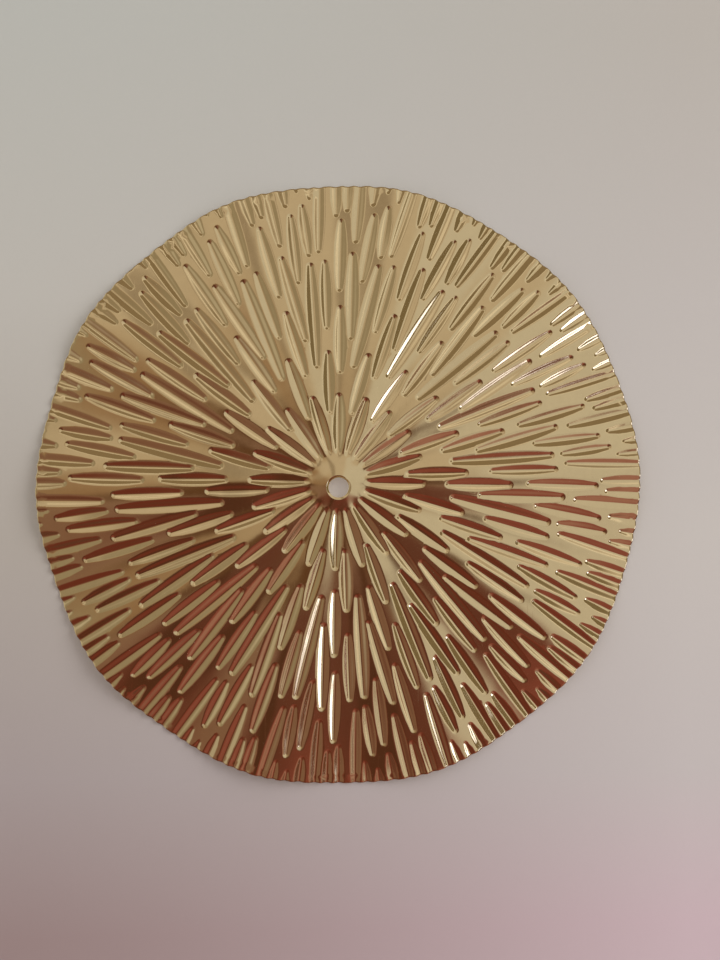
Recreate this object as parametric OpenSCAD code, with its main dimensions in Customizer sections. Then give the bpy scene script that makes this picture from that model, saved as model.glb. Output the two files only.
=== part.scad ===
// Sunburst plate: one thin pressed metal disc, hung upright by its centre hole.
// The disc stands in the XZ plane with its decorated face towards -Y.
// The origin is on the axis of the centre hole, level with the middle of the
// rippled sheet's front surface. Millimetres, +Z up.
//
// The sheet is drawn lying down, front face up, and stood up at the end.
// Its crests and valleys run out from the middle and grow in height towards
// the rim. Long narrow flutes are pressed into it from the front and show as
// ridges at the back, and a raised boss carries the hole with its turned-back
// collar.

/* [Sheet] */
// Radius of the trimmed rim
rim_r = 150.5; // [148:0.5:152]
// Sheet thickness
sheet_t = 0.5; // [0.4:0.05:0.7]
// Rim centre to the right of the hole
rim_dx = 2.6; // [1:0.1:4]
// Rim centre above the hole
rim_dz = 0.7; // [0:0.1:3]

/* [Ripple] */
// Number of crests round the disc
ripple_n = 10; // [10:1:10]
// Height of a crest above the middle surface, at the rim
ripple_h = 2.3; // [1:0.05:2.6]
// Angle of the first crest
ripple_a = 2.2; // [0:0.1:3.6]

/* [Flutes] */
// Pattern centre to the right of the hole
pattern_dx = -0.6; // [-1:0.1:0]
// Pattern centre above the hole
pattern_dz = 2.8; // [2:0.1:3]
// Number of repeats of the flute pattern round the disc
repeats = 20; // [20:1:20]
// Depth of a full-width flute
flute_d = 1.2; // [0.8:0.1:1.4]
// Flute width as a share of the width in the table
flute_w = 1; // [0.8:0.05:1]

/* [Centre boss] */
// Boss centre to the right of the hole
boss_dx = -0.5; // [-1:0.1:0]
// Boss centre above the hole
boss_dz = 2.3; // [1.5:0.1:2.8]
// Radius of the boss at its foot
boss_r = 14; // [13.5:0.1:14.5]
// Height of the boss
boss_h = 2.6; // [2.2:0.1:3]

/* [Centre hole] */
// Radius of the centre hole
hole_r = 5; // [4.5:0.1:5.2]
// Radius at which the boss turns back into the hole
lip_r = 6.2; // [6:0.1:6.4]
// Length of the straight wall inside the collar
collar_l = 1.8; // [1.5:0.1:2]

/* [Hidden] */

// Centres of the flute pattern and the boss, with the sheet lying down
pattern_at = [pattern_dx, pattern_dz, 0];
boss_at = [boss_dx, boss_dz, 0];

slope = ripple_h / rim_r;  // the ripple grows in proportion to the radius
base_r = rim_r + 9;        // the sheet before trimming
facets = 120;              // flat facets round the rippled sheet
trim_h = 20;               // height of the cylinder that trims the rim

repeat_angle = 360 / repeats;
full_width = 7;      // width at which a flute has its full depth
keel_share = 0.22;   // half the keel's length, as a share of the flute's
cut_rise = 0.3;      // how far the flute cutters rise above the surface

boss_steps = 8;      // straight pieces in the boss profile
boss_sides = 96;
boss_inset = 0.5;    // the hollow's foot, inside the boss's foot
hollow_gap = 0.01;   // extra drop of the hollow, beyond the thickness

mouth_h = 0.4;       // the flared mouth ends this far above and below boss_h
mouth_flare = 0.8;   // widening of the radius across the mouth
hole_below = 3;      // how far the hole's cutter passes the collar's end
collar_margin = 2;   // the collar's bounding cylinder, inside the boss's foot

// One repeat of the pattern. Each row is a flute:
// [angle of its middle, inner end radius, outer end radius, width, skew]
// A skew above 0 turns the inner end towards larger angles. The flutes whose
// outer end is past the rim run out through the edge of the sheet.
flutes = [
    [16.7,  15.5,  45.0, 7.4,  0.0],
    [ 4.8,  33.5,  66.5, 6.6,  3.4],
    [17.0,  53.5,  89.0, 7.0, -0.8],
    [ 8.1,  56.5, 111.0, 7.4,  4.5],
    [13.5,  70.5, 116.0, 7.0, -3.0],
    [ 3.5,  75.5, 112.0, 6.4,  1.8],
    [10.4,  99.5, 136.0, 6.4,  3.5],
    [17.2,  94.5, 132.5, 6.5,  0.9],
    [ 7.2, 112.5, 140.5, 6.4, -1.3],
    [ 3.8, 114.0, 160.0, 6.0,  4.4],
    [13.6, 119.0, 160.0, 6.6,  0.0],
    [18.2, 132.0, 160.0, 6.0,  0.0],
    [15.9, 134.5, 160.0, 6.0,  0.0],
    [10.6, 138.0, 160.0, 6.0,  0.0],
    [ 5.6, 141.0, 160.0, 4.5,  0.0],
    [ 8.0, 145.0, 160.0, 4.5,  0.0]
];

// Height of the rippled front surface, per unit of radius
function rise(angle) = slope * cos(ripple_n * (angle - ripple_a));
// Sideways slope of that surface
function lean(angle) = -slope * ripple_n * sin(ripple_n * (angle - ripple_a));
// Height of the boss at a radius
function swell(radius) = boss_h * pow(max(0, 1 - pow(radius / boss_r, 2)), 1.5);

// The rippled sheet before its flutes: a fan of flat facets, sheet_t thick
module rippled_sheet() {
    down = [0, 0, sheet_t];
    front_edge = [for (i = [0 : facets - 1]) let (angle = i * 360 / facets)
        base_r * [cos(angle), sin(angle), rise(angle)]];
    back_edge = [for (point = front_edge) point - down];
    front = 2;               // index of the first front edge point
    back = front + facets;   // index of the first back edge point
    pairs = [for (i = [0 : facets - 1]) [i, (i + 1) % facets]];
    polyhedron(
        points = concat([[0, 0, 0], -down], front_edge, back_edge),
        faces = concat(
            [for (p = pairs) [0, front + p[1], front + p[0]]],
            [for (p = pairs) [1, back + p[0], back + p[1]]],
            [for (p = pairs) [front + p[0], front + p[1], back + p[1], back + p[0]]]));
}

// A boat-shaped solid with a V section and pointed ends. Its keel is at
// height -depth and its sides carry on up to height top. At height 0 it has
// the given length and width.
module boat(length, width, depth, top) {
    spread = 1 + top / depth;
    keel = length * keel_share;
    tip = keel + (length / 2 - keel) * spread;
    side = width / 2 * spread;
    polyhedron(
        points = [
            [-tip, 0, top], [-keel, -side, top], [keel, -side, top],
            [tip, 0, top], [keel, side, top], [-keel, side, top],
            [-keel, 0, -depth], [keel, 0, -depth]
        ],
        faces = [
            [5, 4, 3, 2, 1, 0],
            [1, 2, 7, 6], [4, 5, 6, 7],
            [0, 1, 6], [5, 0, 6], [2, 3, 7], [3, 4, 7]
        ]);
}

// One flute, laid on the rippled surface and lowered by drop
module flute(angle, inner, outer, width, skew, drop, top) {
    middle = (inner + outer) / 2;
    rotate([0, 0, angle])
        translate([middle, 0, middle * rise(angle) - drop])
            rotate([atan(lean(angle)), -atan(rise(angle)), 0])
                rotate([0, 0, -skew])
                    boat(length = outer - inner, width = width * flute_w,
                         depth = flute_d * min(1, width / full_width), top = top);
}

// Every flute of the disc
module all_flutes(drop, top) {
    for (i = [0 : repeats - 1], row = flutes)
        flute(i * repeat_angle + row[0], row[1], row[2], row[3], row[4], drop, top);
}

// The boss, solid, lowered by drop and drawn in by inset at its foot
module boss_body(drop = 0, inset = 0) {
    foot_r = boss_r - inset;
    radii = [for (i = [boss_steps : -1 : 0]) foot_r * i / boss_steps];
    rotate_extrude($fn = boss_sides)
        polygon(concat(
            [[0, -sheet_t - drop], [foot_r, -sheet_t - drop]],
            [for (radius = radii) [radius, swell(radius) - drop]]));
}

// Space inside the collar: a straight wall with a flared mouth, widened by
// grow and carried on by below past the collar's end
module hole_space(grow = 0, below = 0) {
    bottom = -collar_l / 2 - below;
    rotate_extrude($fn = boss_sides)
        polygon([
            [0, bottom],
            [hole_r + grow, bottom],
            [hole_r + grow, collar_l / 2],
            [lip_r + grow, boss_h - mouth_h],
            [lip_r + grow + mouth_flare, boss_h + mouth_h],
            [0, boss_h + mouth_h]
        ]);
}

// The rippled sheet with the back ridges of its flutes, trimmed to the rim
module trimmed_sheet() {
    intersection() {
        translate(pattern_at)
            union() {
                rippled_sheet();
                all_flutes(drop = sheet_t, top = sheet_t / 2);
            }
        translate([rim_dx, rim_dz, -trim_h / 2])
            cylinder(r = rim_r, h = trim_h, $fn = 360);
    }
}

// The trimmed sheet with the boss, hollowed from behind
module bossed_sheet() {
    difference() {
        union() {
            trimmed_sheet();
            translate(boss_at) boss_body();
        }
        translate(boss_at) boss_body(drop = sheet_t + hollow_gap, inset = boss_inset);
    }
}

// The collar before the hole is cut, kept inside the boss
module collar() {
    intersection() {
        hole_space(grow = sheet_t);
        translate(boss_at)
            union() {
                boss_body();
                translate([0, 0, -collar_l / 2])
                    cylinder(r = boss_r - collar_margin, h = collar_l / 2, $fn = boss_sides);
            }
    }
}

module sunburst_plate() {
    color("goldenrod")
    rotate([90, 0, 0])
    difference() {
        union() {
            bossed_sheet();
            collar();
        }
        hole_space(below = hole_below);
        translate(pattern_at) all_flutes(drop = 0, top = cut_rise);
    }
}

sunburst_plate();
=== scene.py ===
"""Sunburst plate: a round gold sheet pressed with twenty repeats of radial flutes.

It hangs upright on a wall. In the finished frame x runs right, -y out towards the room and
z up, with the origin on the hole's axis. It is modelled in sheet coordinates: millimetres
about the centre of the flute pattern, x right, y up the wall, z out towards the room.
"""
import math
from collections import namedtuple

import bpy
import numpy as np
from mathutils import Matrix, Vector
from mathutils.geometry import delaunay_2d_cdt


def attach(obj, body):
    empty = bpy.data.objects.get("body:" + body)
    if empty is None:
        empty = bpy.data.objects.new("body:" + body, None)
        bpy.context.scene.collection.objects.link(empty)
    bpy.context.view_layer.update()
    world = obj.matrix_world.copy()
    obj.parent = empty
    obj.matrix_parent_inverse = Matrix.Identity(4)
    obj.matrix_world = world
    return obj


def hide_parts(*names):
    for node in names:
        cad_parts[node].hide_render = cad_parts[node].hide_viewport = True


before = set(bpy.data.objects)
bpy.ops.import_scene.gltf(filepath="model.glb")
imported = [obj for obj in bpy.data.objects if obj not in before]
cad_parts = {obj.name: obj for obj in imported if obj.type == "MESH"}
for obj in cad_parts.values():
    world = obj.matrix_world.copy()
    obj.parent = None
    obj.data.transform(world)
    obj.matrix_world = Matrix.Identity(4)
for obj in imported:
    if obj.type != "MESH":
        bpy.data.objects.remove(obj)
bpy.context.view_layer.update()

MM = 0.001
TAU = math.tau

# ---------------------------------------------------------------------------
# Sizes, in sheet coordinates
# ---------------------------------------------------------------------------
PATTERN = (-0.6, 2.8)          # pattern centre, from the hole's axis
HOLE_C = (-PATTERN[0], -PATTERN[1])
RIM_C = (3.2, -2.1)
RIM_R = 150.5
# unevenness of the trimmed rim: size in mm, waves per turn, phase in radians
RIM_WAVES = [(0.10, 2, -0.33), (0.14, 3, 1.85), (0.10, 4, -2.05), (0.16, 11, 2.63)]
ROLL_WIDTH = 0.8               # band along the rim that rolls back
ROLL_DROP = 0.22
SHEET_T = 0.5

LIP_R = 6.2                    # where the boss starts to turn in to the hole
DENT_ANGLE, DENT_WIDTH, DENT_DEPTH = 45, 17, 0.34    # flat spot of the lip: degrees, degrees, mm
HOLE_R = 5.0
COLLAR_Z = 0.9                 # half length of the straight collar

BOSS_C = (0.1, -0.5)
BOSS_R = 14.0
BOSS_H = 2.6

RIPPLES = 10                   # crests round the sheet
RIPPLE = 2.3 / RIM_R           # height of a crest, per mm of radius
RIPPLE_A = 2.2                 # angle of the first crest, degrees
RIPPLE_START, RIPPLE_FADE = 7, 12    # radius where the ripple starts, length it grows over

HILL_H = 0.03                  # unevenness of the sheet
HILL_SIZE = 17.0
HILL_SEED = 5
HILL_START, HILL_FADE = 14, 10

SLOPE = 0.37                   # mean slope of a flute's side wall
WIDE = 1.09                    # width out to the shoulders' end, to the width in the table
TIP = 0.60                     # width at the start of an end's curve, as a share of the width
TAPER = 2.3                    # power of the narrowing towards the ends
DEPTH_TAPER = 1.1              # power of the width share that the depth follows
# steepest a third of the way up the wall, then a long rounded shoulder
WALL_POWER, SHOULDER_POWER = 1.7, 2.15
NOSE_IN = 2.8                  # length of the inner end's curve
NOSE_OUT = 2.6                 # length of the outer end's curve
NOSE_BOSS = 4.5                # the inner one where a flute starts on the boss's foot
BOSS_FLUTE = 20                # flutes that start inside this radius start on the boss's foot
BLEND = 5                      # power that joins overlapping flutes

# angle of the middle in degrees, inner end, outer end, width, skew in degrees
Flute = namedtuple("Flute", "angle inner outer width skew")
FLUTES = [Flute(*row) for row in (
    (16.7, 12.6, 45.0, 7.4, 0.0),
    (4.8, 33.5, 66.5, 7.0, 3.4),
    (16.8, 53.5, 89.0, 7.2, -0.8),
    (8.1, 56.5, 111.0, 7.5, 4.5),
    (13.5, 70.5, 116.0, 7.3, -3.0),
    (3.5, 75.5, 112.0, 6.6, 1.8),
    (10.4, 99.5, 136.0, 6.7, 3.5),
    (17.2, 94.5, 132.5, 6.8, 0.9),
    (7.2, 112.5, 140.5, 6.6, -1.3),
    # these run out past the rim
    (3.8, 114.0, 160.0, 6.4, 4.4),
    (13.6, 119.0, 160.0, 6.8, 0.0),
    (18.2, 132.0, 160.0, 6.4, 0.0),
    (15.9, 134.5, 160.0, 6.4, 0.0),
    (10.6, 138.0, 160.0, 6.4, 0.0),
    (5.6, 141.0, 160.0, 5.2, 0.0),
    (8.0, 145.0, 160.0, 5.2, 0.0),
)]
REPEATS = 20
STEP = 360.0 / REPEATS

# Mesh density
LIP_POINTS = 72
LIP_STEPS = (0.22, 0.5)        # rings just outside the lip; the boss rings start at the last
BOSS_RINGS = 10
BOSS_POINTS = 84
RIM_POINTS = 1440
SNAP = 0.16                    # points nearer than this are merged
ROW_PITCH = 0.866              # row distance of the fill, to its point distance


# ---------------------------------------------------------------------------
# The pressed sheet as one height function
# ---------------------------------------------------------------------------
def polar(x, y, centre):
    """Radius and angle about a centre."""
    dx, dy = x - centre[0], y - centre[1]
    return np.hypot(dx, dy), np.arctan2(dy, dx)


def nose(flute):
    """Length of the curve at the flute's inner end."""
    return NOSE_BOSS if flute.inner < BOSS_FLUTE else NOSE_IN


def core(flute):
    """Start and end of the flute's middle part, from half way along it."""
    half = (flute.outer - flute.inner) / 2
    return -(half - nose(flute)), half - NOSE_OUT


def taper(flute, along):
    """Share of the full width at a place along the flute."""
    start, end = core(flute)
    offset = (along - (start + end) / 2) / ((end - start) / 2)
    return TIP + (1 - TIP) * (1 - np.minimum(1, np.abs(offset)) ** TAPER)


def flute_height(flute, along, across):
    """Depth that one flute presses. 0 outside it."""
    start, end = core(flute)
    share = taper(flute, along)
    side = flute.width / 2 * WIDE * share
    over = np.where(along > end, (along - end) / NOSE_OUT,
                    np.where(along < start, (start - along) / nose(flute), 0))
    out = np.sqrt((across / side) ** 2 + over * over)
    wall = np.maximum(0, 1 - out ** WALL_POWER) ** SHOULDER_POWER
    return SLOPE * flute.width / 2 * WIDE * share ** DEPTH_TAPER * wall


def to_flute(flute, turn, x, y):
    """Sheet coordinates to places along and across a flute turned by some degrees."""
    angle, skew = math.radians(flute.angle + turn), math.radians(flute.skew)
    radial = x * math.cos(angle) + y * math.sin(angle) - (flute.inner + flute.outer) / 2
    aside = -x * math.sin(angle) + y * math.cos(angle)
    return (radial * math.cos(skew) - aside * math.sin(skew),
            radial * math.sin(skew) + aside * math.cos(skew))


def to_sheet(flute, along, across):
    """Places along and across a flute of the first repeat to sheet coordinates."""
    angle, skew = math.radians(flute.angle), math.radians(flute.skew)
    radial = along * math.cos(skew) + across * math.sin(skew) + (flute.inner + flute.outer) / 2
    aside = -along * math.sin(skew) + across * math.cos(skew)
    return (radial * math.cos(angle) - aside * math.sin(angle),
            radial * math.sin(angle) + aside * math.cos(angle))


def all_flutes_depth(x, y):
    r = np.hypot(x, y)
    degrees = np.degrees(np.arctan2(y, x)) % STEP
    total = np.zeros_like(r)
    for flute in FLUTES:
        half = (flute.outer - flute.inner) / 2
        near = (r > flute.inner - 2) & (r < flute.outer + 2)
        lean = half * abs(math.sin(math.radians(flute.skew)))
        limit = math.degrees((flute.width / 2 + 1 + lean) / flute.inner) + 2
        for turn in (-STEP, 0, STEP):
            mask = near & (np.abs(degrees - flute.angle - turn) < limit)
            if not mask.any():
                continue
            angle = np.radians(degrees[mask])
            place = to_flute(flute, turn, r[mask] * np.cos(angle), r[mask] * np.sin(angle))
            total[mask] += flute_height(flute, *place) ** BLEND
    return total ** (1 / BLEND)


def hills(x, y, seed, size, octaves=2, waves=7):
    """A smooth unevenness between about -1 and 1, built from a few crossed waves."""
    rng = np.random.RandomState(seed)
    out = np.zeros_like(x)
    for octave in range(octaves):
        for _ in range(waves):
            angle, phase = rng.uniform(0, TAU, 2)
            pace = TAU / (size * rng.uniform(0.7, 1.6) / 2 ** octave)
            ahead = x * math.cos(angle) + y * math.sin(angle)
            out += np.sin(pace * ahead + phase) / 2 ** octave
    return out / (2.2 * math.sqrt(waves))


def rim_radius(angle):
    """Radius of the trimmed rim about its own centre."""
    radius = RIM_R
    for size, waves, phase in RIM_WAVES:
        radius = radius + size * np.cos(waves * angle + phase)
    return radius


def lip_radius(angle):
    """The hole's lip, with a slightly uneven turned edge."""
    off = (np.degrees(angle) - DENT_ANGLE + 180) % 360 - 180
    return LIP_R - DENT_DEPTH * np.exp(-(off / DENT_WIDTH) ** 2) + 0.05 * np.sin(3 * angle + 1)


def height(x, y):
    r, angle = np.hypot(x, y), np.arctan2(y, x)
    z = -all_flutes_depth(x, y)
    fade = np.clip((r - RIPPLE_START) / RIPPLE_FADE, 0, 1)
    fade = fade * fade * (3 - 2 * fade)
    z = z + RIPPLE * r * np.cos(RIPPLES * (angle - math.radians(RIPPLE_A))) * fade
    boss_r = polar(x, y, BOSS_C)[0]
    z = z + BOSS_H * np.maximum(0, 1 - (boss_r / (BOSS_R + 1)) ** 2) ** 1.9
    # the trimmed edge rolls back a little
    from_rim_c, rim_angle = polar(x, y, RIM_C)
    edge = np.clip(1 - (rim_radius(rim_angle) - from_rim_c) / ROLL_WIDTH, 0, 1.2)
    z = z - ROLL_DROP * edge * edge
    # the sheet isn't dead flat between the flutes
    uneven = HILL_H * hills(x, y, HILL_SEED, HILL_SIZE)
    return z + uneven * np.clip((r - HILL_START) / HILL_FADE, 0, 1)


def surface(points, step=0.04):
    """Height, unit normal and the normal's length before scaling, at each point."""
    x, y = points[:, 0], points[:, 1]
    slope_x = (height(x + step, y) - height(x - step, y)) / (2 * step)
    slope_y = (height(x, y + step) - height(x, y - step)) / (2 * step)
    normal = np.stack([-slope_x, -slope_y, np.ones_like(slope_x)], 1)
    length = np.linalg.norm(normal, axis=1, keepdims=True)
    return height(x, y), normal / length, length[:, 0]


# ---------------------------------------------------------------------------
# Triangulation that follows the flutes: level lines round each flute, its
# keel, the ridges between overlapping flutes, rings on the boss, the rim and
# the hole are all edges of the mesh.
# ---------------------------------------------------------------------------
class Net:
    """Points and edges, with near points merged through a grid of cells."""

    def __init__(self):
        self.points, self.cells, self.edges = [], {}, set()

    def near(self, point, reach):
        column, row = int(point[0] // SNAP), int(point[1] // SNAP)
        n = int(math.ceil(reach / SNAP))
        for i in range(column - n, column + n + 1):
            for j in range(row - n, row + n + 1):
                for k in self.cells.get((i, j), ()):
                    other = self.points[k]
                    dx, dy = other[0] - point[0], other[1] - point[1]
                    if dx ** 2 + dy ** 2 < reach * reach:
                        return k
        return None

    def add(self, point, reach=SNAP):
        k = self.near(point, reach)
        if k is None:
            k = len(self.points)
            self.points.append((float(point[0]), float(point[1])))
            cell = (int(point[0] // SNAP), int(point[1] // SNAP))
            self.cells.setdefault(cell, []).append(k)
        return k

    def chain(self, xs, ys, keep=None, closed=True, reach=SNAP):
        """A line of edges, broken where keep is false."""
        ids = [self.add(point, reach) if keep is None or keep[i] else None
               for i, point in enumerate(zip(xs, ys))]
        pairs = list(zip(ids[:-1], ids[1:])) + ([(ids[-1], ids[0])] if closed else [])
        for a, b in pairs:
            if a is not None and b is not None and a != b:
                self.edges.add((min(a, b), max(a, b)))


def around(centre, radius, angle):
    return centre[0] + radius * np.cos(angle), centre[1] + radius * np.sin(angle)


def full_turn(count):
    return np.arange(count) / count * TAU


def inside_rim(x, y, margin=0.0):
    radius, angle = polar(x, y, RIM_C)
    return radius < rim_radius(angle) - margin


def keel_rays(flute, spacing, nose_rays):
    """Rays from the keel out to the flute's edge, in order round the flute.

    Returns the steps along the keel, each ray's start along it, and its run along and across.
    """
    start, end = core(flute)
    steps = max(4, int(round((end - start) / spacing)))
    keel = start + (end - start) * np.arange(steps + 1) / steps
    side = flute.width / 2 * WIDE * taper(flute, keel)
    fan = np.pi / 2 * np.linspace(-1, 1, nose_rays + 2)[1:-1]
    side_end, side_start = flute.width / 2 * WIDE * taper(flute, np.array([end, start]))
    begin = np.concatenate([keel, np.full(nose_rays, end), keel[::-1], np.full(nose_rays, start)])
    run_along = np.concatenate([0 * keel, NOSE_OUT * np.cos(fan),
                                0 * keel, -nose(flute) * np.cos(fan)])
    run_across = np.concatenate([-side, side_end * np.sin(fan),
                                 side[::-1], -side_start * np.sin(fan)])
    return steps, begin, run_along, run_across


def others(number, x, y):
    """Depth of every flute but one of the first repeat, and whether that one owns the ridge."""
    total, best, owns = np.zeros_like(x), np.full(x.shape, 1e-9), np.ones(x.shape, bool)
    for k in (-1, 0, 1):
        for j, flute in enumerate(FLUTES):
            if (k, j) == (0, number):
                continue
            depth = flute_height(flute, *to_flute(flute, k * STEP, x, y))
            total += depth ** BLEND
            owns = np.where(depth > best, (k, j) > (0, number), owns)
            best = np.maximum(best, depth)
    return total ** (1 / BLEND), owns


def find_ridge(number, begin, run_along, run_across):
    """Share of each ray at which another flute gets deeper (2 if none), and who owns it."""
    flute = FLUTES[number]
    shares = np.linspace(0.02, 1.06, 40)
    x, y = to_sheet(flute, begin[:, None] + run_along[:, None] * shares,
                    run_across[:, None] * shares)
    own_depth = flute_height(flute, *to_flute(flute, 0, x, y))
    other_depth, owns = others(number, x, y)
    gap = other_depth - own_depth
    crossed = (gap > 0) & (other_depth > 0.02)
    first = np.where(crossed.any(1), crossed.argmax(1), len(shares))
    edge = np.full(len(begin), 2.0)
    mine = np.zeros(len(begin), bool)
    for ray, hit in enumerate(first):
        if hit == len(shares):
            continue
        mine[ray] = owns[ray, hit]
        if hit == 0:
            edge[ray] = 0.0
            continue
        before, after = gap[ray, hit - 1], gap[ray, hit]
        step = shares[hit] - shares[hit - 1]
        edge[ray] = shares[hit - 1] + step * (-before) / max(1e-9, after - before)
    return edge, mine


def flute_lines(levels, spacing, nose_rays, foot_line):
    """Lines of the first repeat: x, y, kept points, closed, merging distance."""
    ridges, walls, feet = [], [], []
    for number, flute in enumerate(FLUTES):
        steps, begin, run_along, run_across = keel_rays(flute, spacing, nose_rays)
        length = np.hypot(run_along, run_across)
        edge, mine = find_ridge(number, begin, run_along, run_across)
        ridge = edge < 1.0

        def outline(share):
            return to_sheet(flute, begin + run_along * share, run_across * share)

        ridges.append((*outline(edge), ridge & mine & (edge * length > 0.25), True, 0.25))
        for level in levels:
            keep = np.where(ridge, level * length < edge * length - 0.2, True)
            walls.append((*outline(level), keep, True, SNAP))
        if foot_line:
            x, y = outline(1 + 0.32 / length)
            feet.append((x, y, ~ridge & (others(number, x, y)[0] < 0.015), True, 0.2))
        # the keel stays where the rays to both its sides are open
        there = slice(0, steps + 1)
        back = slice(steps + 1 + nose_rays, 2 * steps + 2 + nose_rays)
        open_ray = edge > 0.1
        walls.append((*to_sheet(flute, begin[there], 0.0),
                      open_ray[there] & open_ray[back][::-1], False, SNAP))
    # ridges first, so that other lines snap to them
    return ridges + walls + feet


def add_rings(net, rim_steps):
    """The lip, the boss and the rim."""
    angle = full_turn(LIP_POINTS)
    for grow in (0.0, *LIP_STEPS):
        net.chain(*around(HOLE_C, lip_radius(angle) + grow, angle))
    angle = full_turn(BOSS_POINTS)
    x0, y0 = around(HOLE_C, lip_radius(angle) + LIP_STEPS[-1], angle)
    x1, y1 = around(BOSS_C, BOSS_R, angle)
    for k in range(1, BOSS_RINGS + 1):
        share = k / BOSS_RINGS
        net.chain(x0 + (x1 - x0) * share, y0 + (y1 - y0) * share, reach=0.4)
    angle = full_turn(RIM_POINTS)
    net.chain(*around(RIM_C, rim_radius(angle), angle))
    for step in rim_steps:
        net.chain(*around(RIM_C, rim_radius(angle) - step, angle), reach=0.12)


def add_repeats(net, x, y, keep, closed, reach):
    """The same line in every repeat, cut off at the rim and the lip."""
    for repeat in range(REPEATS):
        turn = math.radians(repeat * STEP)
        turned_x = x * math.cos(turn) - y * math.sin(turn)
        turned_y = x * math.sin(turn) + y * math.cos(turn)
        clear = polar(turned_x, turned_y, HOLE_C)[0] > LIP_R + 0.8
        net.chain(turned_x, turned_y, keep & inside_rim(turned_x, turned_y, 0.9) & clear,
                  closed, reach)


def add_fill(net, pitch):
    """Points on the plain sheet between the flutes."""
    for j in range(int(2 * RIM_R / (pitch * ROW_PITCH)) + 2):
        y = RIM_C[1] - RIM_R + j * pitch * ROW_PITCH
        for i in range(int(2 * RIM_R / pitch) + 2):
            x = RIM_C[0] - RIM_R + (i + 0.5 * (j % 2)) * pitch
            past_rim = math.hypot(x - RIM_C[0], y - RIM_C[1]) > RIM_R - 1.2
            if past_rim or math.hypot(x - HOLE_C[0], y - HOLE_C[1]) < 8:
                continue
            net.add((x, y), pitch / 2)


def triangulate(net):
    """Points and triangles of the sheet, without the hole and what lies past the rim."""
    found = delaunay_2d_cdt([Vector(p) for p in net.points], sorted(net.edges), [], 0, 1e-4)
    points = np.array([(p.x, p.y) for p in found[0]])
    tris = np.array([tuple(t) for t in found[2]])
    x, y = points[tris].mean(1).T
    hole_r, hole_angle = polar(x, y, HOLE_C)
    keep = inside_rim(x, y, -0.02)
    keep &= hole_r > lip_radius(hole_angle) * math.cos(math.pi / LIP_POINTS) - 0.004
    side_1 = points[tris[:, 1]] - points[tris[:, 0]]
    side_2 = points[tris[:, 2]] - points[tris[:, 0]]
    area = side_1[:, 0] * side_2[:, 1] - side_1[:, 1] * side_2[:, 0]
    tris[area < 0] = tris[area < 0][:, ::-1]
    tris = tris[keep & (np.abs(area) > 1e-9)]
    used = np.unique(tris)
    renumber = np.full(len(points), -1)
    renumber[used] = np.arange(len(used))
    return points[used], renumber[tris]


def boundary_loops(tris):
    """Loops of vertex numbers round the open edges, longest first."""
    half_edges = np.concatenate([tris[:, (0, 1)], tris[:, (1, 2)], tris[:, (2, 0)]])
    seen = set(map(tuple, half_edges.tolist()))
    following = {a: b for a, b in seen if (b, a) not in seen}
    loops = []
    while following:
        a, b = following.popitem()
        loop = [a]
        while b != loop[0]:
            loop.append(b)
            b = following.pop(b)
        loops.append(loop)
    return sorted(loops, key=len, reverse=True)


def build_net(levels, spacing, nose_rays, foot_line, fill, rim_steps):
    """Points, triangles, and the rim's and the lip's vertex numbers, both from angle 0."""
    net = Net()
    add_rings(net, rim_steps)
    for line in flute_lines(levels, spacing, nose_rays, foot_line):
        add_repeats(net, *line)
    add_fill(net, fill)
    points, tris = triangulate(net)
    edges = []
    for loop, centre in zip(boundary_loops(tris), (RIM_C, HOLE_C)):
        loop = np.array(loop)
        angle = polar(points[loop, 0], points[loop, 1], centre)[1]
        edges.append(np.roll(loop, -int(np.argmin(np.abs(angle - 0.001)))))
    return points, tris, *edges


# ---------------------------------------------------------------------------
# The solid plate: front and back surfaces, rim edge, collar
# ---------------------------------------------------------------------------
def unit(v):
    return v / np.linalg.norm(v, axis=-1, keepdims=True)


class Skin:
    """Collects vertices, and triangles with their corner normals."""

    def __init__(self):
        self.verts, self.count, self.tris, self.normals = [], 0, [], []

    def add_points(self, points):
        ids = self.count + np.arange(len(points))
        self.verts.append(points)
        self.count += len(points)
        return ids

    def add_tris(self, ids, normals):
        self.tris.append(ids)
        self.normals.append(normals)

    def strip(self, row_a, row_b, normal_a, normal_b):
        """Triangles between two closed rows of vertices."""
        next_a, next_b = np.roll(row_a, -1), np.roll(row_b, -1)
        next_na, next_nb = np.roll(normal_a, -1, 0), np.roll(normal_b, -1, 0)
        self.add_tris(np.stack([row_a, row_b, next_b], 1),
                      np.stack([normal_a, normal_b, next_nb], 1))
        self.add_tris(np.stack([row_a, next_b, next_a], 1),
                      np.stack([normal_a, next_nb, next_na], 1))


def add_rim(skin, front, back, front_row, back_row, front_n, back_n):
    """The cut edge, with a slight roll from the front face."""
    out = unit(np.stack([front[:, 0] - RIM_C[0], front[:, 1] - RIM_C[1],
                         np.zeros(len(front))], 1))
    mid_front = skin.add_points(front * 0.70 + back * 0.30 + out * 0.09)
    mid_back = skin.add_points(front * 0.25 + back * 0.75 + out * 0.07)
    rolled = unit(out + front_n * 0.35)
    skin.strip(front_row, mid_front, unit(front_n + out * 0.7), rolled)
    skin.strip(mid_front, mid_back, rolled, out)
    skin.strip(mid_back, back_row, out, unit(out + back_n))


# how the boss turns into the hole: share of the way from the lip inwards, and backwards
TURN_IN = [(0.10, 0.05), (0.24, 0.17), (0.45, 0.36), (0.72, 0.62), (0.9, 0.82), (1.0, 1.0)]


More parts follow.
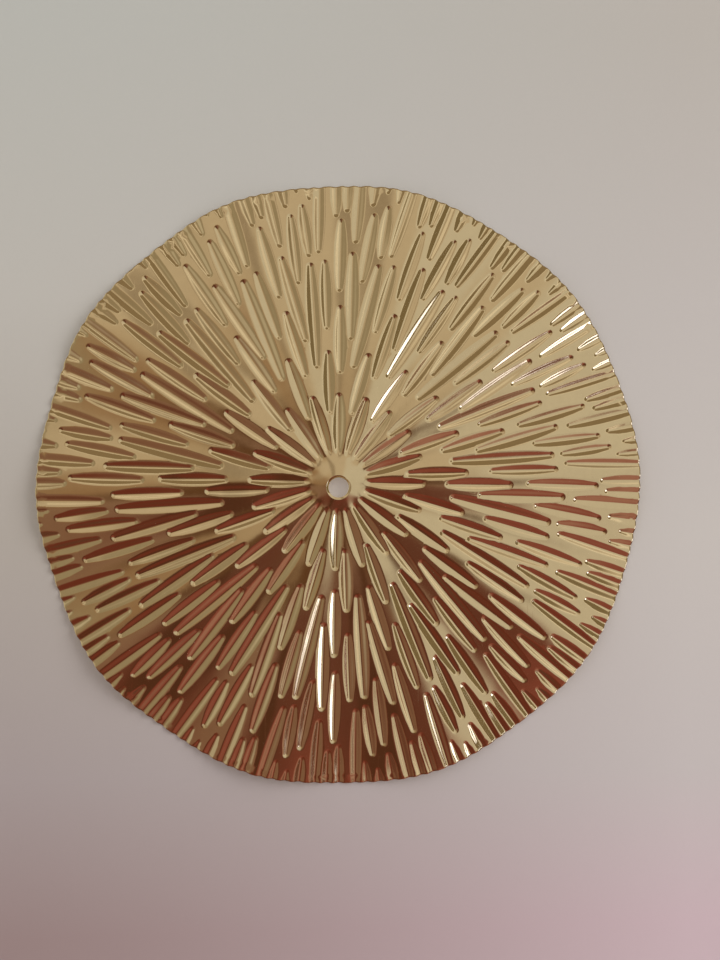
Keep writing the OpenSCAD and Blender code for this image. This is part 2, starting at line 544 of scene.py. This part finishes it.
def add_collar(skin, front, back_z, front_row, back_row, front_n):
    """The boss turns back through the hole. The rows run clockwise seen from the front."""
    lip_r, angle = polar(front[:, 0], front[:, 1], HOLE_C)
    lip_z = front[:, 2]
    out_xy = np.stack([np.cos(angle), np.sin(angle)], 1)

    def spin(radius, z):
        return np.column_stack([out_xy * radius[:, None], z])

    bore = HOLE_R + (0.05 * np.sin(2 * angle + 0.8) + 0.03 * np.sin(5 * angle))
    tube = bore + SHEET_T
    foot_z = COLLAR_Z * 0.3
    # (radius, height): back through the hole, round the collar's end and up its outside
    profile = [(lip_r + (bore - lip_r) * inward, lip_z + (COLLAR_Z - lip_z) * backward)
               for inward, backward in TURN_IN]
    profile += [(bore, COLLAR_Z * 0.2),
                (bore, -COLLAR_Z + 0.10),
                (bore + 0.08, -COLLAR_Z),
                (tube - 0.06, -COLLAR_Z),
                (tube, -COLLAR_Z + 0.08),
                (tube, foot_z),
                (tube + 0.12, back_z + (foot_z - back_z) * 0.55),
                (tube + 0.35, back_z + (foot_z - back_z) * 0.25)]
    profile = [(radius, np.broadcast_to(z, radius.shape)) for radius, z in profile]
    centre = np.array([*HOLE_C, 0.0])
    rings = [skin.add_points(centre + spin(radius, z)) for radius, z in profile]
    rows = [front_row, *rings, back_row]

    # a segment's normal points away from the metal: square to its run
    stations = np.array([(lip_r, lip_z), *profile, (lip_r, back_z)])
    run = np.diff(stations, axis=0)
    segment_n = unit(np.stack([run[:, 1], -run[:, 0]], -1))
    row_n = unit(np.concatenate([segment_n[:1], segment_n[:-1] + segment_n[1:], segment_n[-1:]], 0))
    normals = [spin(n[:, 0], n[:, 1]) for n in row_n]
    normals[0] = unit(normals[0] + front_n * 0.9)
    for k in range(len(rows) - 1):
        skin.strip(rows[k], rows[k + 1], normals[k], normals[k + 1])


def plate_skin():
    front_xy, front_tris, front_rim, front_lip = build_net(
        levels=(0.06, 0.16, 0.30, 0.46, 0.62, 0.80, 0.99), spacing=5.2, nose_rays=5,
        foot_line=True, fill=2.4, rim_steps=(0.3, 0.75))
    # the back is coarser, with the same points along the rim and the lip
    back_xy, back_tris, back_rim, back_lip = build_net(
        levels=(0.5, 1.0), spacing=7.0, nose_rays=3,
        foot_line=False, fill=3.0, rim_steps=(0.4,))
    front_z, front_n, _ = surface(front_xy)
    back_z, back_n, stretch = surface(back_xy)
    back_z = back_z - SHEET_T * stretch
    back_n = -back_n
    front, back = np.column_stack([front_xy, front_z]), np.column_stack([back_xy, back_z])

    skin = Skin()
    skin.add_points(front)
    back_ids = skin.add_points(back)
    skin.add_tris(front_tris, front_n[front_tris])
    back_tris = back_tris[:, ::-1]
    skin.add_tris(back_ids[back_tris], back_n[back_tris])
    add_rim(skin, front[front_rim], back[back_rim], front_rim, back_ids[back_rim],
            front_n[front_rim], back_n[back_rim])
    add_collar(skin, front[front_lip], back_z[back_lip], front_lip, back_ids[back_lip],
               front_n[front_lip])
    return skin


def build_plate():
    skin = plate_skin()
    verts, tris = np.concatenate(skin.verts), np.concatenate(skin.tris)
    normals = np.concatenate(skin.normals)
    # sheet coordinates to the finished frame
    verts = np.stack([verts[:, 0] + PATTERN[0], -verts[:, 2], verts[:, 1] + PATTERN[1]], 1) * MM
    normals = np.stack([normals[..., 0], -normals[..., 2], normals[..., 1]], -1)

    mesh = bpy.data.meshes.new("sunburst_plate_sheet")
    mesh.vertices.add(len(verts))
    mesh.vertices.foreach_set("co", verts.astype(np.float32).ravel())
    mesh.loops.add(len(tris) * 3)
    mesh.loops.foreach_set("vertex_index", tris.astype(np.int32).ravel())
    mesh.polygons.add(len(tris))
    mesh.polygons.foreach_set("loop_start", np.arange(0, len(tris) * 3, 3, dtype=np.int32))
    mesh.polygons.foreach_set("use_smooth", np.ones(len(tris), bool))
    mesh.update(calc_edges=True)
    mesh.validate()
    mesh.normals_split_custom_set(normals.reshape(-1, 3).tolist())
    mesh.update()
    plate = bpy.data.objects.new("sunburst_plate_visual", mesh)
    bpy.context.scene.collection.objects.link(plate)
    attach(plate, "root")
    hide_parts("sunburst_plate")
    return plate


# ---------------------------------------------------------------------------
# Materials
# ---------------------------------------------------------------------------
class Nodes:
    """Short helper for building the node tree of a material or world."""

    def __init__(self, owner):
        owner.use_nodes = True
        self.tree = owner.node_tree
        self.tree.nodes.clear()

    def add(self, kind, inputs=None, **props):
        node = self.tree.nodes.new(kind)
        for key, value in props.items():
            setattr(node, key, value)
        for key, value in (inputs or {}).items():
            if isinstance(value, bpy.types.NodeSocket):
                self.tree.links.new(value, node.inputs[key])
            else:
                node.inputs[key].default_value = value
        return node

    def math(self, op, a, b=0.0, c=None, clamp=False):
        inputs = {0: a, 1: b} if c is None else {0: a, 1: b, 2: c}
        return self.add("ShaderNodeMath", inputs, operation=op, use_clamp=clamp).outputs[0]

    def mix(self, factor, a, b, blend="MIX"):
        return self.add("ShaderNodeMix", {0: factor, 6: a, 7: b},
                        data_type="RGBA", blend_type=blend).outputs[2]

    def noise(self, place, scale, detail, rough):
        return self.add("ShaderNodeTexNoise", {"Vector": place, "Scale": scale, "Detail": detail,
                                               "Roughness": rough}).outputs["Fac"]

    def shade(self, colour, pattern, spread, base):
        """The colour times base + spread * pattern."""
        tone = self.math("ADD", self.math("MULTIPLY", pattern, spread), base)
        grey = self.add("ShaderNodeCombineXYZ", {0: tone, 1: tone, 2: tone}).outputs[0]
        return self.mix(1.0, colour, grey, "MULTIPLY")

    def smooth_step(self, value, start, end, high=1.0):
        """From 0 at start to high at end."""
        return self.add("ShaderNodeMapRange", {"Value": value, "From Min": start, "From Max": end,
                                               "To Min": 0.0, "To Max": high},
                        interpolation_type="SMOOTHSTEP").outputs[0]

    def ramp(self, factor, stops):
        node = self.add("ShaderNodeValToRGB", {"Fac": factor})
        elements = node.color_ramp.elements
        while len(elements) > 1:
            elements.remove(elements[-1])
        elements[0].position, elements[0].color = stops[0][0], (*stops[0][1], 1)
        for position, colour in stops[1:]:
            elements.new(position).color = (*colour, 1)
        return node.outputs[0]

    def finish(self, kind, surface_node):
        self.add(kind, {"Surface": surface_node.outputs[0]})


def gold_material():
    material = bpy.data.materials.new("satin_gold_plate")
    nodes = Nodes(material)
    position = nodes.add("ShaderNodeNewGeometry").outputs["Position"]
    in_mm = nodes.add("ShaderNodeVectorMath", {0: position, "Scale": 1000.0},
                      operation="SCALE").outputs[0]
    # fine satin grain, a slower mottle, and broad tone changes of the lacquer
    grain = nodes.noise(in_mm, scale=2.6, detail=2.0, rough=0.6)
    mottle = nodes.noise(in_mm, scale=0.35, detail=3.0, rough=0.55)
    broad = nodes.noise(in_mm, scale=0.03, detail=2.0, rough=0.5)
    warm = nodes.mix(broad, (0.800, 0.640, 0.395, 1), (0.840, 0.665, 0.400, 1))
    colour = nodes.shade(warm, mottle, spread=0.10, base=0.95)
    grain_rough, mottle_rough, base_rough = 0.07, 0.05, 0.05
    rough = nodes.math("ADD", nodes.math("MULTIPLY", grain, grain_rough),
                       nodes.math("MULTIPLY", mottle, mottle_rough))
    rough = nodes.math("ADD", rough, base_rough)
    # hairline scuffs, few and faint
    scuff_above, scuff_rough = 0.715, 0.08
    stretched = nodes.add("ShaderNodeMapping", {"Vector": in_mm, "Scale": (0.9, 1.0, 0.035),
                                                "Rotation": (0.0, 0.7, 0.0)}).outputs[0]
    scuff = nodes.noise(stretched, scale=1.3, detail=1.0, rough=0.5)
    scuff = nodes.math("MULTIPLY", nodes.math("GREATER_THAN", scuff, scuff_above), scuff_rough)
    rough = nodes.math("ADD", rough, scuff)
    bump = nodes.add("ShaderNodeBump", {"Strength": 0.10, "Distance": 0.00004, "Height": grain})
    nodes.finish("ShaderNodeOutputMaterial", nodes.add(
        "ShaderNodeBsdfPrincipled", {"Base Color": colour, "Metallic": 1.0, "Roughness": rough,
                                     "Normal": bump.outputs[0]}))
    return material


# wall colours with painted shade and light in them, darker on the left and lighter on the right, from
# 0.25 m below the hole (0) to 0.25 m above it (1)
WALL_LEFT_TINT_AND_SHADE = [(0.05, (0.404, 0.315, 0.317)), (0.21, (0.473, 0.427, 0.430)),
             (0.45, (0.526, 0.502, 0.462)), (0.69, (0.610, 0.613, 0.579)),
             (0.97, (0.574, 0.605, 0.578))]
WALL_RIGHT_TINT_AND_LIGHT = [(0.05, (0.683, 0.561, 0.618)), (0.21, (0.640, 0.612, 0.620)),
              (0.45, (0.646, 0.630, 0.612)), (0.69, (0.604, 0.590, 0.578)),
              (0.97, (0.546, 0.537, 0.507))]
WALL_BLEND_LEFT = 0.162        # the left colour ends this far left of the hole, m
WALL_BLEND_WIDTH = 0.343       # and reaches the right colour over this width, m
WALL_BLEND_POWER = 1.3


def wall_material():
    material = bpy.data.materials.new("pale_wall")
    nodes = Nodes(material)
    geometry = nodes.add("ShaderNodeNewGeometry")
    position = geometry.outputs["Position"]
    xyz = nodes.add("ShaderNodeSeparateXYZ", {0: position})
    paint = nodes.noise(position, scale=500.0, detail=2.0, rough=0.5)
    # painted shade across the wall: darker to the lower left, away from the light at the right, and
    # pinker downwards
    up = nodes.math("MULTIPLY_ADD", xyz.outputs[2], 2.0, 0.5, clamp=True)
    across = nodes.math("MULTIPLY_ADD", xyz.outputs[0], 1 / WALL_BLEND_WIDTH,
                        WALL_BLEND_LEFT / WALL_BLEND_WIDTH, clamp=True)
    across = nodes.math("POWER", across, WALL_BLEND_POWER)
    left = nodes.ramp(up, WALL_LEFT_TINT_AND_SHADE)
    right = nodes.ramp(up, WALL_RIGHT_TINT_AND_LIGHT)
    colour = nodes.shade(nodes.mix(across, left, right), paint, spread=0.02, base=0.99)
    matte = nodes.add("ShaderNodeBsdfDiffuse", {"Color": colour, "Roughness": 0.3})
    # light that comes round the disc's back and fills the wall behind the hole
    away = nodes.add("ShaderNodeVectorMath", {0: position}, operation="LENGTH").outputs["Value"]
    behind = nodes.smooth_step(away, start=0.012, end=0.006, high=0.14)
    glow = nodes.add("ShaderNodeEmission", {"Color": (1.0, 0.84, 0.79, 1), "Strength": behind})
    matte = nodes.add("ShaderNodeAddShader", {0: matte.outputs[0], 1: glow.outputs[0]})
    clear = nodes.add("ShaderNodeBsdfTransparent")
    path = nodes.add("ShaderNodeLightPath")
    # solid only to the camera in front of it, so the disc's back can be lit and seen
    facing = nodes.math("SUBTRACT", 1.0, geometry.outputs["Backfacing"])
    solid = nodes.math("MULTIPLY", path.outputs["Is Camera Ray"], facing)
    nodes.finish("ShaderNodeOutputMaterial", nodes.add(
        "ShaderNodeMixShader", {0: solid, 1: clear.outputs[0], 2: matte.outputs[0]}))
    return material


def floor_material():
    material = bpy.data.materials.new("pale_floor")
    nodes = Nodes(material)
    position = nodes.add("ShaderNodeNewGeometry").outputs["Position"]
    paint = nodes.noise(position, scale=60.0, detail=3.0, rough=0.5)
    colour = nodes.mix(paint, (0.60, 0.55, 0.51, 1), (0.64, 0.585, 0.545, 1))
    nodes.finish("ShaderNodeOutputMaterial", nodes.add(
        "ShaderNodeBsdfDiffuse", {"Color": colour, "Roughness": 0.3}))
    return material


# The tent's colour by height above the disc's axis, in degrees
TENT_STOPS = [(-90, (0.10, 0.05, 0.035)), (-55, (0.14, 0.055, 0.038)), (-34, (0.18, 0.08, 0.058)),
              (-16, (0.24, 0.14, 0.11)), (-3, (0.32, 0.23, 0.155)), (7, (0.44, 0.37, 0.285)),
              (15, (0.54, 0.475, 0.385)), (43, (0.55, 0.49, 0.405)), (54, (0.25, 0.195, 0.12)),
              (90, (0.28, 0.22, 0.15))]
# Its colour behind the wall, from straight down (0) to straight up (1)
TENT_REAR = [(0.0, (0.20, 0.15, 0.115)), (0.42, (0.34, 0.28, 0.23)), (0.52, (0.70, 0.68, 0.63)),
             (0.8, (0.62, 0.61, 0.58)), (1.0, (0.45, 0.44, 0.42))]
# Soft patches painted over one another: centre (right, up) of the disc's own axis in
# degrees, half sizes in degrees, turn in degrees, softness of the edge, colour, strength.
# The last is a tall narrow bright source at the lower right.
PATCHES = [
    ((-80, 8), (26, 60), 0, 0.30, (0.52, 0.50, 0.42), 0.80),
    ((-48, 16), (17, 32), 0, 0.30, (0.31, 0.27, 0.195), 0.90),
    ((-16, 8), (8, 11), 0, 0.50, (0.42, 0.33, 0.23), 0.60),
    ((-26, 2), (7, 10), 0, 0.60, (0.28, 0.165, 0.09), 0.65),
    ((32, 8), (19, 43), 0, 0.22, (0.60, 0.585, 0.53), 0.92),
    ((47, 4), (3.2, 44), 0, 0.45, (0.95, 0.92, 0.84), 0.75),
    ((4, 45), (46, 3.2), 0, 0.45, (0.86, 0.81, 0.71), 0.75),
    ((28, -52), (16, 22), 0, 0.40, (0.42, 0.22, 0.19), 0.80),
    ((91, 12), (40, 62), 0, 0.08, (0.20, 0.16, 0.092), 0.97),
    ((12, -46), (17, 25), 0, 0.40, (0.24, 0.065, 0.052), 0.85),
    ((-36, -28), (20, 18), 0, 0.40, (0.235, 0.14, 0.10), 0.80),
    ((-12, -46), (17, 24), 0, 0.40, (0.155, 0.036, 0.024), 0.88),
    ((0, -23), (18, 12), 0, 0.35, (0.12, 0.043, 0.03), 0.85),
    ((-9, 28), (4.2, 20), 0, 0.50, (0.13, 0.085, 0.045), 0.50),
    ((-9, -30), (4.2, 27), 0, 0.40, (0.085, 0.035, 0.02), 0.92),
    ((-2, -7), (25, 4.5), 0, 0.40, (0.095, 0.042, 0.022), 0.80),
    ((-4, -2), (14, 9.5), 0, 0.22, (0.125, 0.06, 0.03), 0.95),
    ((63.3, -23.2), (16.5, 4.4), 62, 0.30, (2.6, 2.8, 3.5), 1.0),
]


def paint_patch(nodes, base, right, up, patch):
    """Mix one patch over the base colour."""
    (centre_x, centre_z), (half_x, half_z), turn, soft, colour, strength = patch
    u = nodes.math("SUBTRACT", right, centre_x)
    v = nodes.math("SUBTRACT", up, centre_z)
    if turn:
        cos, sin = math.cos(math.radians(turn)), math.sin(math.radians(turn))
        u, v = (nodes.math("MULTIPLY_ADD", u, cos / half_x, nodes.math("MULTIPLY", v, sin / half_x)),
                nodes.math("MULTIPLY_ADD", u, -sin / half_z, nodes.math("MULTIPLY", v, cos / half_z)))
    else:
        u, v = nodes.math("DIVIDE", u, half_x), nodes.math("DIVIDE", v, half_z)
    out = nodes.math("SQRT", nodes.math("MULTIPLY_ADD", v, v, nodes.math("MULTIPLY", u, u)))
    cover = nodes.smooth_step(out, start=1 + soft, end=1 - soft, high=strength)
    return nodes.mix(cover, base, (*colour, 1))


def tent_material():
    material = bpy.data.materials.new("light_tent")
    nodes = Nodes(material)
    position = nodes.add("ShaderNodeNewGeometry").outputs["Position"]
    direction = nodes.add("ShaderNodeVectorMath", {0: position}, operation="NORMALIZE").outputs[0]
    dx, dy, dz = nodes.add("ShaderNodeSeparateXYZ", {0: direction}).outputs
    # degrees away from the disc's axis, split into right and up
    angle = nodes.math("ARCCOSINE", nodes.math("MULTIPLY", dy, -1.0))
    angle = nodes.math("MULTIPLY", angle, 180 / math.pi)
    flat = nodes.math("MULTIPLY_ADD", dz, dz, 1e-6)
    flat = nodes.math("SQRT", nodes.math("ADD", nodes.math("MULTIPLY", dx, dx), flat))
    per = nodes.math("DIVIDE", angle, flat)
    right, up = nodes.math("MULTIPLY", dx, per), nodes.math("MULTIPLY", dz, per)
    lift = nodes.math("MULTIPLY_ADD", up, 1 / 180.0, 0.5, clamp=True)
    total = nodes.ramp(lift, [(degrees / 180 + 0.5, colour) for degrees, colour in TENT_STOPS])
    for patch in PATCHES:
        total = paint_patch(nodes, total, right, up, patch)
    # behind the wall: plain and pale, darker towards the floor
    rear = nodes.ramp(nodes.math("MULTIPLY_ADD", dz, 0.5, 0.5), TENT_REAR)
    total = nodes.mix(nodes.smooth_step(angle, start=96.0, end=112.0), total, rear)
    nodes.finish("ShaderNodeOutputMaterial", nodes.add(
        "ShaderNodeEmission", {"Color": total, "Strength": 1.0}))
    material.cycles.emission_sampling = "NONE"
    return material


# ---------------------------------------------------------------------------
# Stage, in metres: a pale wall right behind the disc, a pale floor, and a
# painted light tent round the disc
# ---------------------------------------------------------------------------
WALL_Y = 0.0041
FLOOR_Z = -0.75
STAGE_LEFT, STAGE_WIDTH = -1.5, 3.0
WALL_HEIGHT = 2.2
FLOOR_FRONT = 1.6
TENT_R = 0.8


def stage_object(name, verts, faces, material):
    mesh = bpy.data.meshes.new(name)
    mesh.from_pydata(verts, [], faces)
    mesh.materials.append(material)
    obj = bpy.data.objects.new(name, mesh)
    bpy.context.scene.collection.objects.link(obj)
    return obj


def add_panel(name, origin, side_a, side_b, material, glossy, n=8):
    """A flat grid of n by n faces, from a corner along two sides."""
    origin, side_a, side_b = Vector(origin), Vector(side_a), Vector(side_b)
    verts = [tuple(origin + side_a * (i / n) + side_b * (j / n))
             for j in range(n + 1) for i in range(n + 1)]
    corners = [j * (n + 1) + i for j in range(n) for i in range(n)]
    faces = [(k, k + 1, k + n + 2, k + n + 1) for k in corners]
    panel = stage_object(name, verts, faces, material)
    panel.visible_glossy = glossy


def add_light_tent(rings=24, sides=48):
    """A sphere round the disc that only reflections see."""
    def vertex(i, j):
        return 1 + (i - 1) * sides + j % sides

    verts = [(0, 0, TENT_R)]
    for i in range(1, rings):
        a = math.pi * i / rings
        verts += [(TENT_R * math.sin(a) * math.cos(TAU * j / sides),
                   TENT_R * math.sin(a) * math.sin(TAU * j / sides),
                   TENT_R * math.cos(a)) for j in range(sides)]
    verts.append((0, 0, -TENT_R))
    faces = [(0, vertex(1, j), vertex(1, j + 1)) for j in range(sides)]
    faces += [(vertex(i, j), vertex(i + 1, j), vertex(i + 1, j + 1), vertex(i, j + 1))
              for i in range(1, rings - 1) for j in range(sides)]
    faces += [(vertex(rings - 1, j), len(verts) - 1, vertex(rings - 1, j + 1))
              for j in range(sides)]
    tent = stage_object("light_tent", verts, faces, tent_material())
    for ray in ("camera", "diffuse", "transmission", "volume_scatter", "shadow"):
        setattr(tent, "visible_" + ray, False)


# ---------------------------------------------------------------------------
# World, lights and camera
# ---------------------------------------------------------------------------
def add_world(seen, diffuse):
    """A plain surround, with its own colour for diffuse light."""
    world = bpy.data.worlds.new("studio")
    bpy.context.scene.world = world
    nodes = Nodes(world)
    path = nodes.add("ShaderNodeLightPath")
    colour = nodes.mix(path.outputs["Is Diffuse Ray"], seen, diffuse)
    nodes.finish("ShaderNodeOutputWorld", nodes.add(
        "ShaderNodeBackground", {"Color": colour, "Strength": 1.0}))
    world.cycles.sampling_method = "NONE"


def add_area_light(name, right, up, distance, size, power, colour):
    """A soft light aimed at the disc, at angles in degrees from its axis."""
    light = bpy.data.lights.new(name, "AREA")
    light.shape = "RECTANGLE"
    light.size, light.size_y = size
    light.energy = power
    light.color = colour
    obj = bpy.data.objects.new(name, light)
    bpy.context.scene.collection.objects.link(obj)
    away = math.hypot(right, up)
    angle = math.radians(away)
    share = math.sin(angle) / away
    location = Vector((right * share, -math.cos(angle), up * share)) * distance
    obj.location = location
    obj.rotation_mode = "QUATERNION"
    obj.rotation_quaternion = (-location).to_track_quat("-Z", "Y")
    obj.visible_glossy = False


def add_camera(location, right, forward):
    data = bpy.data.cameras.new("camera")
    data.sensor_fit = "AUTO"
    data.sensor_width = 36.0
    data.lens = 27.0
    data.clip_start = 0.01
    camera = bpy.data.objects.new("camera", data)
    bpy.context.scene.collection.objects.link(camera)
    forward = Vector(forward).normalized()
    up = Vector(right).normalized().cross(forward).normalized()
    # square to the other two
    right = forward.cross(up).normalized()
    turn = Matrix((right, up, -forward)).transposed()
    camera.matrix_world = Matrix.Translation(location) @ turn.to_4x4()
    bpy.context.scene.camera = camera


plate = build_plate()
gold = gold_material()
plate.data.materials.append(gold)
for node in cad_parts.values():
    node.data.materials.clear()
    node.data.materials.append(gold)

add_panel("backdrop_wall", origin=(STAGE_LEFT, WALL_Y, FLOOR_Z), side_a=(STAGE_WIDTH, 0, 0),
          side_b=(0, 0, WALL_HEIGHT), material=wall_material(), glossy=True)
add_panel("backdrop_floor", origin=(STAGE_LEFT, -FLOOR_FRONT, FLOOR_Z),
          side_a=(STAGE_WIDTH, 0, 0), side_b=(0, FLOOR_FRONT + WALL_Y, 0),
          material=floor_material(), glossy=False)
add_world(seen=(0.62, 0.58, 0.55, 1), diffuse=(0.546, 0.494, 0.468, 1))
add_light_tent()
# wall wash from the right, which gives the soft shadow at the disc's lower left
add_area_light("soft_key", right=52, up=26, distance=1.5, size=(0.8, 1.2), power=11.7,
               colour=(1.0, 0.96, 0.93))
add_area_light("soft_fill", right=-20, up=45, distance=1.8, size=(1.6, 1.6), power=5.2,
               colour=(1.0, 0.96, 0.92))
add_camera(location=(-0.0053, -0.3602, 0.0064), right=(0.999, -0.0444, -0.0008),
           forward=(0.0444, 0.999, -0.0074))
view = bpy.context.scene.view_settings
view.view_transform = "Standard"
view.look = "None"
